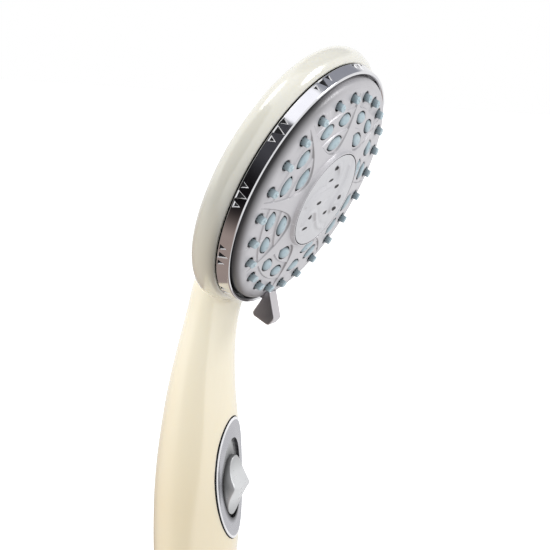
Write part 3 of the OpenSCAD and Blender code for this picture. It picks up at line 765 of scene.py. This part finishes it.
def make_slider():
    """The thumb knob, the cover that closes the pocket round it, and the peg to the valve."""
    sides = 120
    middle = RIDGE_Z - KNOB_DROP
    travel = JOINTS["pause_slide"]["range_m"][1] / MM
    x, z = ellipse_points(COVER_L, COVER_W, middle, sides)
    under_plate = np.minimum(handle_r(z), handle_r(z + travel)) - PLATE_UNDER
    cover = np.minimum(COVER_Y, np.sqrt(under_plate ** 2 - x * x))
    points = [np.stack([x, -y, z], -1) for y in (np.full(sides, POCKET_Y + 0.2), cover)]
    x, z = ellipse_points(KNOB_L, KNOB_W, middle, sides)
    points.append(np.stack([x, np.full(sides, -COVER_Y), z], -1))
    for k in np.linspace(0, 1, 5):
        a = k * pi / 2
        inset = KNOB_EDGE * (1 - cos(a))
        x, z = ellipse_points(KNOB_L - 2 * inset, KNOB_W - 2 * inset, middle, sides)
        points.append(np.stack([x, -(knob_top(x, z) - KNOB_EDGE + KNOB_EDGE * sin(a)), z], -1))
    for t in np.linspace(0.94, 0.02, 26):
        x, z = ellipse_points((KNOB_L - 2 * KNOB_EDGE) * t, (KNOB_W - 2 * KNOB_EDGE) * t, middle, sides)
        points.append(np.stack([x, -knob_top(x, z), z], -1))
    peg, faces = lathe([(AXIS, 3.7), (2, 3.7), (2, POCKET_Y + 0.4), (AXIS, POCKET_Y + 0.4)], 32)
    peg = np.stack([peg[:, 0], -peg[:, 2], RIDGE_Z + peg[:, 1]], -1)
    slider = add_mesh("slider_knob", np.concatenate(points), closed_faces(len(points), sides), sharp=38)
    boolean(slider, add_mesh("peg", peg, faces), "UNION")
    smooth(slider, 38)
    finish_piece(slider, "slider", "slider", "pause_slider")

    def beside_knob(at):
        """The shadow at the foot of the knob, faint on the cover."""
        x, y, z = at.T
        out = np.hypot(x / (KNOB_W / 2), (z - middle) / (KNOB_L / 2))
        return 0.8 * (1 - step(-y, COVER_Y, KNOB_LOW + 1.6)) * np.where(out > 1.04, 0.1, 1)

    painted_shade(slider, beside_knob)


# ---------------- chrome ring

# How many sets of marks, the turn between the marks of a set, and how deep and how sloped they are cut.
RING_MARKS, MARK_TURN, MARK_DEPTH, MARK_SLOPE = 12, 4.4, 0.32, 0.3
# The marked wall from foot to top, its radius at the foot and how much it leans in; then half the base
# of each mark and the heights of its base and its point.
WALL_FOOT, WALL_TOP, FOOT_R, WALL_LEAN = 0.75, 4.7, 46.9, 0.1875
SMALL_MARK, LARGE_MARK = (1.2, 1.1, 3.6), (1.6, 0.8, WALL_TOP)


def ring_wall(z):
    """Radius of the ring's outer wall at a height in front of the lip."""
    return FOOT_R - (z - WALL_FOOT) * WALL_LEAN


def engraved(turn, half, low, top):
    """The cutter of one triangle in the ring's wall: its turn, half its base, and its base and point."""
    a = radians(turn)
    out, side = np.array([sin(a), -cos(a)]), np.array([cos(a), sin(a)])
    inside = half * (top - low) / (half + hypot(half, top - low))
    points = []
    for depth, grow in ((0.5, MARK_SLOPE * 0.5 / MARK_DEPTH), (-MARK_DEPTH, -MARK_SLOPE)):
        scale = 1 + grow / inside
        for u, z in ((-half, low), (half, low), (0, top)):
            z = low + inside + (z - low - inside) * scale
            points.append((*(out * (ring_wall(z) + depth) + side * u * scale), z))
    return points, [[0, 1, 2], [5, 4, 3], [0, 3, 4, 1], [1, 4, 5, 2], [2, 5, 3, 0]]


def make_ring():
    """The band round the face, engraved with sets of three triangles that point forward."""
    profile = rounded([(44.75, 0.9, 0), (44.75, 4.6, 0.15), (45.2, 5.1, 0.2), (45.75, 5.1, 0.22),
                       (46.12, 4.75, 0.22), (FOOT_R, 0.8, 0.12), (46.8, 0.6, 0.1), (46.2, 0.6, 0),
                       (46.2, RING_SEAT + 0.1, 0), (45.6, RING_SEAT + 0.1, 0), (45.6, 0.9, 0)])
    ring = add_mesh("ring_band", *lathe(profile, 480, loop=True), in_head=True)
    marks = []
    for k in range(RING_MARKS):
        at = 360 / RING_MARKS * k
        marks += [engraved(at - MARK_TURN, *SMALL_MARK), engraved(at, *LARGE_MARK),
                  engraved(at + MARK_TURN, *SMALL_MARK)]
    boolean(ring, add_mesh("marks", *joined(marks), in_head=True))
    smooth(ring, 30)
    finish_piece(ring, "body", "ring", "chrome_ring", extra=("gap", "edge"))

    def dark(at):
        """Dark floors in the marks, their upper sides painted bright as highlights, and painted shade in the gaps
        below and behind the band.
        """
        r, _, z = round_head(at)
        sunk = ring_wall(z) - r
        inside = (z > WALL_FOOT) & (z < WALL_TOP) & (sunk < 0.6)
        floor = inside & (sunk > 0.85 * MARK_DEPTH)
        cut = inside & (sunk > 0.25 * MARK_DEPTH)
        return np.where(cut & (z > 1.6) & ~floor, 2, cut | (z < 0.62) | (sunk > 1.2) & (z < 2.6))

    paint(ring, dark)


# ---------------- spray face

# The openings: a ring of round ones, and eight groups of three lens-shaped ones (length, width).
RING_NOZZLES, NOZZLE_AT, GROUPS = 24, 38.0, 8
MID_AT, MID_TURN, MID_LENS = 30.8, 10.0, (8.2, 5.0)
INNER_AT, INNER_LENS = 23.5, (9.4, 5.4)
PATTERN_TURN = 2.0
ROUND_GAP, LENS_GAP = 0.62, 0.05
# The face is a dome, given by its height at the ring of nozzles and at DOME_R, next to the cap.
DOME_R, FACE_AT_RING, FACE_AT_CAP = 20, 8.1, 10.8
DOME_K = (FACE_AT_CAP - FACE_AT_RING) / (NOZZLE_AT ** 2 - DOME_R ** 2)
# Cap, collar, the wall at the rim with its round shoulder, the flange behind it, and a nozzle's cone.
CAP_R, COLLAR_R, COLLAR_Z = 17.9, 19.1, 12.3
WALL_R, FILLET, FILLET_Z, FLANGE_R = 43.9, 3.0, 4.45, 45.2
NOZZLE_R, TIP_R, NOZZLE_H = 1.45, 1.2, 1.85
# The pads between the ribs: where their tongue shape starts and how it spreads, how far they lie below
# the ribs at each radius, and the radius where they end.
TONGUE_TIP, TONGUE_SPREAD, TONGUE_POWER = 19.6, 3.0, 1.82
TERRACES = [(19, 0.85), (26.7, 0.30), (26.95, 0.80), (34.1, 0.25), (34.35, 0.65), (39, 0.10), (41, 0.0)]
PAD_END = 41
# A soft dome in a lens-shaped opening: the scale of its outline and its height above the face. PAD_FILL
# is half its length and width as a share of the opening's.
PAD_DOME = [(1.0, -3.2), (1.0, -1.2), (0.97, -0.82), (0.9, -0.48), (0.78, -0.2), (0.62, 0.03), (0.42, 0.2),
            (0.2, 0.29), (0.02, 0.31)]
PAD_FILL = 0.43
# The foot by which the lever stands in the face: its place, depth and width, and its two heights.
FOOT_AT, FOOT_DEEP, FOOT_WIDE, FOOT_LOW, FOOT_TOP = 42.2, 2.2, 4.0, 2.9, 8.2


def dome_z(r):
    """Height of the face's dome at a radius."""
    return FACE_AT_CAP + DOME_K * (DOME_R ** 2 - r * r)


def lens_distance(u, v, l, w):
    """Distance outside a pointed oval of length l along u and width w along v."""
    arc = (l * l + w * w) / (4 * w)
    return np.hypot(u, np.abs(v) + arc - w / 2) - arc


def openings():
    """Each opening: its angle from the lowest point, its radius, and its lens or None if it is round."""
    found = [(360 / RING_NOZZLES * (k + 0.5) + PATTERN_TURN, NOZZLE_AT, None)
             for k in range(RING_NOZZLES)]
    for k in range(GROUPS):
        axis = 360 / GROUPS * (k + 0.5) + PATTERN_TURN
        found += [(axis - MID_TURN, MID_AT, MID_LENS), (axis + MID_TURN, MID_AT, MID_LENS),
                  (axis, INNER_AT, INNER_LENS)]
    return found


def fold(a, step_deg, start_deg):
    """The angle from the nearest of evenly spaced directions."""
    width = radians(step_deg)
    return (a - radians(start_deg) + width / 2) % width - width / 2


def opening_edge(r, a):
    """Distance from the nearest opening's edge, positive outside it."""
    d = fold(a, 360 / RING_NOZZLES, 180 / RING_NOZZLES)
    best = np.hypot(r * np.cos(d) - NOZZLE_AT, r * np.sin(d)) - NOZZLE_R - ROUND_GAP
    d = fold(a, 360 / GROUPS, 180 / GROUPS)
    for turn, at, (l, w) in ((-MID_TURN, MID_AT, MID_LENS), (MID_TURN, MID_AT, MID_LENS),
                             (0, INNER_AT, INNER_LENS)):
        e = d - radians(turn)
        best = np.minimum(best, lens_distance(r * np.sin(e), r * np.cos(e) - at, l, w) - LENS_GAP)
    return best


def tongue(u, v):
    """Distance outside a tongue-shaped pad that opens towards the rim."""
    def level(u, v):
        return (np.abs(v) / TONGUE_SPREAD) ** TONGUE_POWER - (u - TONGUE_TIP)
    e = 0.05
    g = level(u, v)
    return g / (np.hypot(level(u + e, v) - g, level(u, v + e) - g) / e)


def pad_edge(r, a):
    """Distance outside the nearest pad, at an angle from the start of the pattern."""
    d = fold(a, 360 / GROUPS, 180 / GROUPS)
    return tongue(r * np.cos(d), r * np.sin(d))


def face_height(r, a, z):
    """The face: smooth ribs, with tongue-shaped pads let in between them in three terraces."""
    a = a - radians(PATTERN_TURN)
    lowered = np.interp(r, *np.transpose(TERRACES)) * (1 - step(pad_edge(r, a), -0.42, 0.06))
    lowered = lowered + 0.2 * (1 - step(opening_edge(r, a), 0.0, 0.35)) * step(PAD_END - r, 0, 1)
    return z - lowered * (z > dome_z(r) - 0.1) * (r > COLLAR_R)


def lens_outline(l, w, sides=40):
    """A pointed oval, counterclockwise."""
    arc = (l * l + w * w) / (4 * w)
    half = asin(l / 2 / arc)
    t = np.linspace(-half, half, sides // 2, endpoint=False)
    u = np.concatenate([arc * np.sin(t), -arc * np.sin(t)])
    v = np.concatenate([-(arc * np.cos(t) - arc + w / 2), arc * np.cos(t) - arc + w / 2])
    return u, v


def opening_prism(angle, at, size, low, high):
    """A closed upright prism over one opening of the face."""
    if size is None:
        t = around(24)
        u, v = (NOZZLE_R + ROUND_GAP) * np.cos(t), (NOZZLE_R + ROUND_GAP) * np.sin(t)
    else:
        u, v = lens_outline(size[0] + 2 * LENS_GAP, size[1] + 2 * LENS_GAP)
    x, y = swung(radians(angle), at + v, u)
    return prism(x, y, low, high)


def foot_block(gap, high):
    """The lever's foot, or with a gap the socket for it."""
    x, y = np.array([(-1, -1), (1, -1), (1, 1), (-1, 1)]).T / 2
    return prism(x * (FOOT_WIDE + gap), y * FOOT_DEEP - FOOT_AT, FOOT_LOW - gap / 2, high)


def make_face():
    """The face plate: a raised collar round the cap, the pads and ribs, and a round shoulder at the rim."""
    profile = [(CAP_R + 0.25, COLLAR_Z - 0.1), (CAP_R + 0.33, COLLAR_Z), (COLLAR_R - 0.7, COLLAR_Z),
               (COLLAR_R - 0.55, COLLAR_Z - 0.12), (COLLAR_R - 0.1, dome_z(COLLAR_R) + 0.12),
               (COLLAR_R, dome_z(COLLAR_R))]
    profile += [(r, dome_z(r)) for r in np.arange(COLLAR_R + 0.2, WALL_R - FILLET, 0.18)]
    profile += [(WALL_R - FILLET + FILLET * sin(t), FILLET_Z + FILLET * cos(t))
                for t in np.linspace(0.04, pi / 2, 14)]
    profile += [(WALL_R, 0.6), (FLANGE_R, 0.5), (FLANGE_R, -1.4), (41.9, -1.4), (41.9, 3)]
    profile += [(r, dome_z(r) - 2) for r in (40, 36, 31, 26, 22, CAP_R + 0.25)]
    face = add_mesh("face_disc", *lathe(profile, 1200, face_height, loop=True), in_head=True)
    holes = [opening_prism(*opening, 2, 16) for opening in openings()]
    boolean(face, add_mesh("holes", *joined(holes + [foot_block(0.1, 9)]), in_head=True))
    smooth(face, 28)
    finish_piece(face, "selector", "face", "face_plate", extra=("gap",))

    def holes_below(at):
        """Painted shade: the lower walls of the openings, and the gap round the cap, made dark."""
        r, _, z = round_head(at)
        under = (z < dome_z(r) - 1.1) & (r < WALL_R - FILLET)
        return under | (r < CAP_R + 0.29) & (z < COLLAR_Z - 0.15)

    paint(face, holes_below)

    def shaded(at):
        """The shade of the shoulder, deepest on the side away from the light, and of the pads' edges."""
        r, a, z = round_head(at)
        up, inward = (z - FILLET_Z - 0.2) / FILLET, (WALL_R - r) / (1.5 * FILLET)
        side = 0.35 + 0.65 * step(np.cos(a - SHADE_AT), -0.3, 0.2)
        shoulder = (1 - step(0.55 * up + 0.45 * inward, 0, 1.1)) * side * (r > 30)
        crease = np.exp(-((pad_edge(r, a - radians(PATTERN_TURN)) + 0.2) / 0.16) ** 2)
        crease = crease * (r < 39.5) * (r > COLLAR_R)
        return np.maximum(shoulder, 0.45 * crease)

    painted_shade(face, shaded)


def nozzle_rows(size, base):
    """Rows of (u, v, z) of one cone, or of one pad of the given length and width."""
    if size is None:
        t = around(32)
        shape = [(AXIS, -3), (NOZZLE_R, -3), (NOZZLE_R, -0.1), (NOZZLE_R - 0.12, NOZZLE_H - 0.45),
                 (TIP_R + 0.12, NOZZLE_H - 0.16), (TIP_R - 0.02, NOZZLE_H - 0.04), (TIP_R - 0.2, NOZZLE_H),
                 (AXIS, NOZZLE_H)]
        return [(r * np.cos(t), r * np.sin(t), np.full(32, base + z)) for r, z in shape]
    t = around(48)
    return [(PAD_FILL * size[0] * scale * np.cos(t), PAD_FILL * size[1] * scale * np.sin(t),
             np.full(48, base + z)) for scale, z in PAD_DOME]


def pinholes(size, base):
    """Each hole in a cone or pad: its place to the side, its radius and the height of its mouth."""
    if size is None:
        return [(0.0, 0.32, base + NOZZLE_H)]
    spread = (0.9, -1.3) if size is INNER_LENS else (0.5,)
    return [(u, 0.27, base + 0.6) for u in spread]


def make_nozzles():
    """The soft sheet under the face, with its cones and domed pads that stand through the openings."""
    sheet = [(r, dome_z(r) - 2.1) for r in (19.2, 22, 25, 29, 33, 37, 39.9)]
    sheet += [(r, z - 1.3) for r, z in sheet[::-1]]
    mat = add_mesh("nozzle_sheet", *lathe(sheet, 240, loop=True), in_head=True)
    parts, pins = [], []
    t = around(12)
    for angle, at, size in openings():
        a, base = radians(angle), dome_z(at)
        rows = nozzle_rows(size, base)
        points = [np.stack([*swung(a, at + v, u), z - 2 * DOME_K * at * v], -1) for u, v, z in rows]
        parts.append((np.concatenate(points), closed_faces(len(rows), len(rows[0][0]))))
        for u, radius, mouth in pinholes(size, base):
            x, y = swung(a, at, u)
            pins.append(prism(x + radius * np.cos(t), y + radius * np.sin(t), mouth - 1.6, mouth + 1))
    boolean(mat, add_mesh("cones", *joined(parts), in_head=True), "UNION")
    boolean(mat, add_mesh("pins", *joined(pins), in_head=True))
    smooth(mat, 40)
    finish_piece(mat, "selector", "nozzle", "nozzle_mat", extra=("gap",))

    # Painted shade: the sheet below the face is made dark, so the gaps round the cones and pads look black.
    def sheet_below(at):
        r, _, z = round_head(at)
        return z < dome_z(r) - 1.2

    paint(mat, sheet_below)

    def foot_shade(at):
        r, _, z = round_head(at)
        above = z - dome_z(r)
        cone = np.interp(above, (-0.3, 0.4, NOZZLE_H - 0.5, NOZZLE_H - 0.2), (0.8, 0.42, 0.28, 0.0))
        pad = np.interp(above, (-1.0, -0.6, -0.3, 0.1), (0.95, 0.55, 0.25, 0.0))
        return np.where(r > NOZZLE_AT - 2.6, cone, pad)

    painted_shade(mat, foot_shade)


# ---------------- centre cap

# The cap: heights of its edge, slots, underside and foot, and its rise; its dishes and middle slots, by
# radius and angles; and one arm of the swirl.
CAP_EDGE_Z, SLOT_Z, CAP_UNDER, CAP_FOOT, CAP_RISE = COLLAR_Z, 11.2, 11.0, 7.6, 0.5
LOBE_AT, LOBES = 11.1, (110, -11, 230)
SLOT_AT, SLOTS = 6.1, (64, 185, 303)
ARMS = 3
SWIRL = [(-2.2, 13.6), (0.9, 9.9), (-0.3, 6.75), (-4.1, 6.1), (-11.6, 3.0), (-14.7, -1.4)]


def polar(at, angle):
    """x and y of a point at a radius and an angle."""
    return at * cos(radians(angle)), at * sin(radians(angle))


def rotated(x, y, angle):
    """x and y seen in axes that are turned by an angle."""
    c, s = polar(1, angle)
    return x * c + y * s, y * c - x * s


def polyline_distance(x, y, line):
    """Distance to the nearest point of a line of several stretches."""
    best = np.full(x.shape, np.inf)
    for (ax, ay), (bx, by) in zip(line, line[1:]):
        dx, dy = bx - ax, by - ay
        t = np.clip(((x - ax) * dx + (y - ay) * dy) / (dx * dx + dy * dy), 0, 1)
        best = np.minimum(best, np.hypot(x - ax - t * dx, y - ay - t * dy))
    return best


def smooth_line(points, rounds=3):
    """A polyline with its corners cut, a few times over."""
    for _ in range(rounds):
        cut = [points[0]]
        for (ax, ay), (bx, by) in zip(points, points[1:]):
            cut += [(ax + t * (bx - ax), ay + t * (by - ay)) for t in (0.25, 0.75)]
        points = cut + [points[-1]]
    return points


def cap_height(r, a, z):
    """The cap's relief: three shallow dishes, a swirl of low ridges between them, and a centre dimple."""
    x, y = r * np.sin(a), -r * np.cos(a)
    height = CAP_EDGE_Z + CAP_RISE * (1 - (r / CAP_R) ** 2)
    for angle in LOBES:
        lobe_x, lobe_y = polar(LOBE_AT, angle)
        d = np.hypot(x - lobe_x, y - lobe_y)
        height = height - 0.42 * (1 - step(d, 1.2, 4.4)) + 0.13 * np.exp(-((d - 4.7) / 0.5) ** 2)
    line = smooth_line(SWIRL)
    for k in range(ARMS):
        d = polyline_distance(*rotated(x, y, 360 / ARMS * k), line)
        height = height + 0.36 * np.exp(-(d / 0.6) ** 2) - 0.25 * np.exp(-((d - 1.5) / 0.8) ** 2)
    height = height - 0.35 * np.exp(-(r / 1.9) ** 2)
    return np.where(z > CAP_EDGE_Z - 0.01, height, z)


def slot_prism(x, y, l, w, turn):
    """The cutter of one oval slot."""
    t = around(24)
    u, v = rotated(l / 2 * np.cos(t), w / 2 * np.sin(t), -turn)
    return prism(x + u, y + v, SLOT_Z, 15)


def cap_slots():
    """Place, length, width and turn of each slot in the cap."""
    slots = []
    for x, y in (polar(LOBE_AT, angle) for angle in LOBES):
        slots += [(x + 0.1, y + 2.3, 3.2, 1.8, -25), (x, y - 2.4, 3.5, 1.0, 10)]
    return slots + [(*polar(SLOT_AT, angle), 3.0, 1.4, 10) for angle in SLOTS]


def make_cap():
    """The centre cap, with the pin under it that the turbine spins on."""
    inner, centre = CAP_R - 1.4, 2 * AXIS
    profile = [(centre, CAP_UNDER), (inner, CAP_UNDER), (inner, CAP_FOOT), (CAP_R, CAP_FOOT),
               (CAP_R, CAP_EDGE_Z - 0.2), (CAP_R - 0.06, CAP_EDGE_Z - 0.08)]
    profile += [(r, CAP_EDGE_Z) for r in (*np.arange(CAP_R - 0.2, 0.3, -0.2), centre)]
    cap = add_mesh("cap_disc", *lathe(profile, 480, cap_height), in_head=True)
    pin = [(centre, 4.9), (1.5, 4.9), (1.5, 9.9), (2.6, 9.9), (2.6, 11.4), (centre, 11.4)]
    boolean(cap, add_mesh("pin", *lathe(pin, 48), in_head=True), "UNION")
    slots = [slot_prism(*slot) for slot in cap_slots()]
    boolean(cap, add_mesh("slots", *joined(slots), in_head=True))
    smooth(cap, 30)
    finish_piece(cap, "selector", "cap", "centre_cap", extra=("gap",))

    # Painted shade: the cap's outer wall below its edge is made dark, as a gap.
    def outer_wall(at):
        r, _, z = round_head(at)
        return (r > CAP_R - 0.07) & (z < CAP_EDGE_Z - 0.09)

    paint(cap, outer_wall)

    # Painted shade inside the slots.
    def in_slots(at):
        x, y, z = to_head(at).T
        amount = np.zeros(len(at))
        for slot_x, slot_y, l, w, turn in cap_slots():
            u, v = rotated(x - slot_x, y - slot_y, turn)
            amount[np.hypot(u / (l / 2), v / (w / 2)) < 1.05] = 1
        return amount * (z > SLOT_Z - 0.1)

    painted_shade(cap, in_slots)


# ---------------- selector lever

# The lever: its thickness, its softened edge, and four circles as (place down the head, height, radius).
LEVER_T, LEVER_EDGE = 5.6, 0.55
LEVER_CIRCLES = [(40.3, 8.8, 0.85), (47.6, 13.6, 1.5), (49.3, 13.0, 1.6), (49.1, 7.9, 1.5)]


def make_lever():
    """A wedge hung below the face; its outline is the skin round four circles, with softened edges."""
    sides = 160
    angles = around(sides)
    normal = np.stack([np.cos(angles), np.sin(angles)], -1)
    centres = np.array([c[:2] for c in LEVER_CIRCLES])
    radii = np.array([c[2] for c in LEVER_CIRCLES])
    nearest = (normal @ centres.T + radii).argmax(1)

    def outline(inset):
        return centres[nearest] + normal * (radii[nearest] - inset)[:, None]

    rows = []
    for k in range(6):
        b = k / 5 * pi / 2
        inset = LEVER_EDGE * (1 - sin(b))
        rows.append((outline(inset), LEVER_EDGE * (1 - cos(b)) - LEVER_T / 2))
    rows += [(line, -x) for line, x in rows[::-1]]
    points = [np.stack([np.full(sides, x), -line[:, 0], line[:, 1]], -1) for line, x in rows]
    lever = add_mesh("lever_wedge", np.concatenate(points), closed_faces(len(rows), sides), in_head=True)
    boolean(lever, add_mesh("foot", *foot_block(0, FOOT_TOP), in_head=True), "UNION")
    smooth(lever, 30)
    finish_piece(lever, "selector", "lever", "selector_lever")


# ---------------- inlet

# The half-inch pipe thread, and the flange and bore of the nipple.
THREAD_R, PITCH, THREAD_DEPTH, THREAD_END = 10.478, 1.814, 1.16, 11.6
FLANGE_LOW, FLANGE_TOP, STEM_TOP, STEM_R, INLET_R = 12.2, 13.9, 32, 10.9, 7.5
GROOVE_R, GROOVE_LOW, GROOVE_TOP = 9.2, 23.05, 24.95


def make_inlet():
    """The nipple with a true helical thread, which the CAD draws as rings."""
    sides, rows = 96, 130
    z, a = np.meshgrid(np.linspace(0, THREAD_END, rows), around(sides), indexing="ij")
    phase = ((z - PITCH * a / (2 * pi)) / PITCH) % 1
    tooth = np.interp(phase, [0, 0.12, 0.42, 0.58, 0.88, 1], [1, 1, 0, 0, 1, 1])
    fade = step(z, 0.0, 1.2) * (1 - step(z, THREAD_END - 1.4, THREAD_END - 0.3))
    r = THREAD_R - THREAD_DEPTH + THREAD_DEPTH * tooth * fade - 0.35 * (1 - step(z, 0, 0.5))
    thread = np.stack([r * np.sin(a), -r * np.cos(a), z], -1).reshape(-1, 3)
    rest = rounded([(9.3, 11.7, 0), (11.2, 11.9, 0.2), (12.0, FLANGE_LOW + 0.3, 0.3),
                    (12.0, FLANGE_TOP, 0.1), (STEM_R, FLANGE_TOP, 0), (STEM_R, STEM_TOP, 0.3),
                    (6.5, STEM_TOP, 0), (6.5, 20, 0), (INLET_R, 20, 0), (INLET_R, 0, 0.2)])
    points = np.concatenate([thread, turned(rest, sides)])
    nipple = add_mesh("inlet_thread", points, wall_faces(rows + len(rest), sides, loop=True), sharp=40)
    groove = [(GROOVE_R, GROOVE_LOW), (12, GROOVE_LOW), (12, GROOVE_TOP), (GROOVE_R, GROOVE_TOP)]
    boolean(nipple, add_mesh("groove", *lathe(groove, sides, loop=True)))
    smooth(nipple, 40)
    finish_piece(nipple, "body", "inlet", "inlet_nipple")


# ---------------- build

def dress_nodes():
    """Gives every CAD node the finish of its slot in the record."""
    for part in frame["record"]["subparts"]:
        mesh = frame["nodes"][part["node"]].data
        mesh.materials.clear()
        mesh.materials.append(MATERIALS[part["material_slot"]])


make_camera()
MATERIALS = {slot: make_material(*finish, **extras) for slot, (*finish, extras) in FINISHES.items()}
make_stage()
dress_nodes()
make_shell()
make_escutcheon()
make_slider()
make_ring()
make_face()
make_nozzles()
make_cap()
make_lever()
make_inlet()
